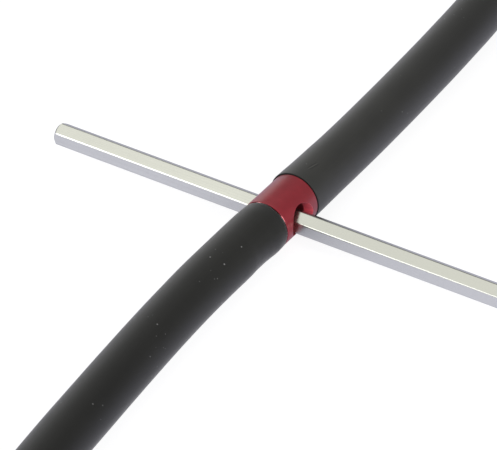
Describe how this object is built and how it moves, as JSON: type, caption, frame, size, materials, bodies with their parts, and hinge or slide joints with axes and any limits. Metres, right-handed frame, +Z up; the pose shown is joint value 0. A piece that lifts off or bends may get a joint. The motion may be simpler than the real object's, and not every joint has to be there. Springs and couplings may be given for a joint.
{
  "type": "cable pulling connector",
  "caption": "Red turned metal connector with threaded spigots, screwed into the ends of two thick black cables, and a hexagonal steel bar through its cross hole that turns it.",
  "frame": {"origin": "middle of the connector's turned body, on its axis and on the axis of the cross hole", "axes": "+X along the hexagonal bar, +Y along the connector's axis towards cable_b, +Z up from the surface that the cables lie on"},
  "size_m": [0.191, 0.3523, 0.0196],
  "materials": {
    "connector": "red anodised, satin",
    "cable": "matte black rubber sheath",
    "bar": "bright drawn steel"
  },
  "bodies": {
    "root": {"connector": "connector", "cable_a": "cable", "cable_b": "cable", "hex_bar": "bar"}
  },
  "joints": []
}
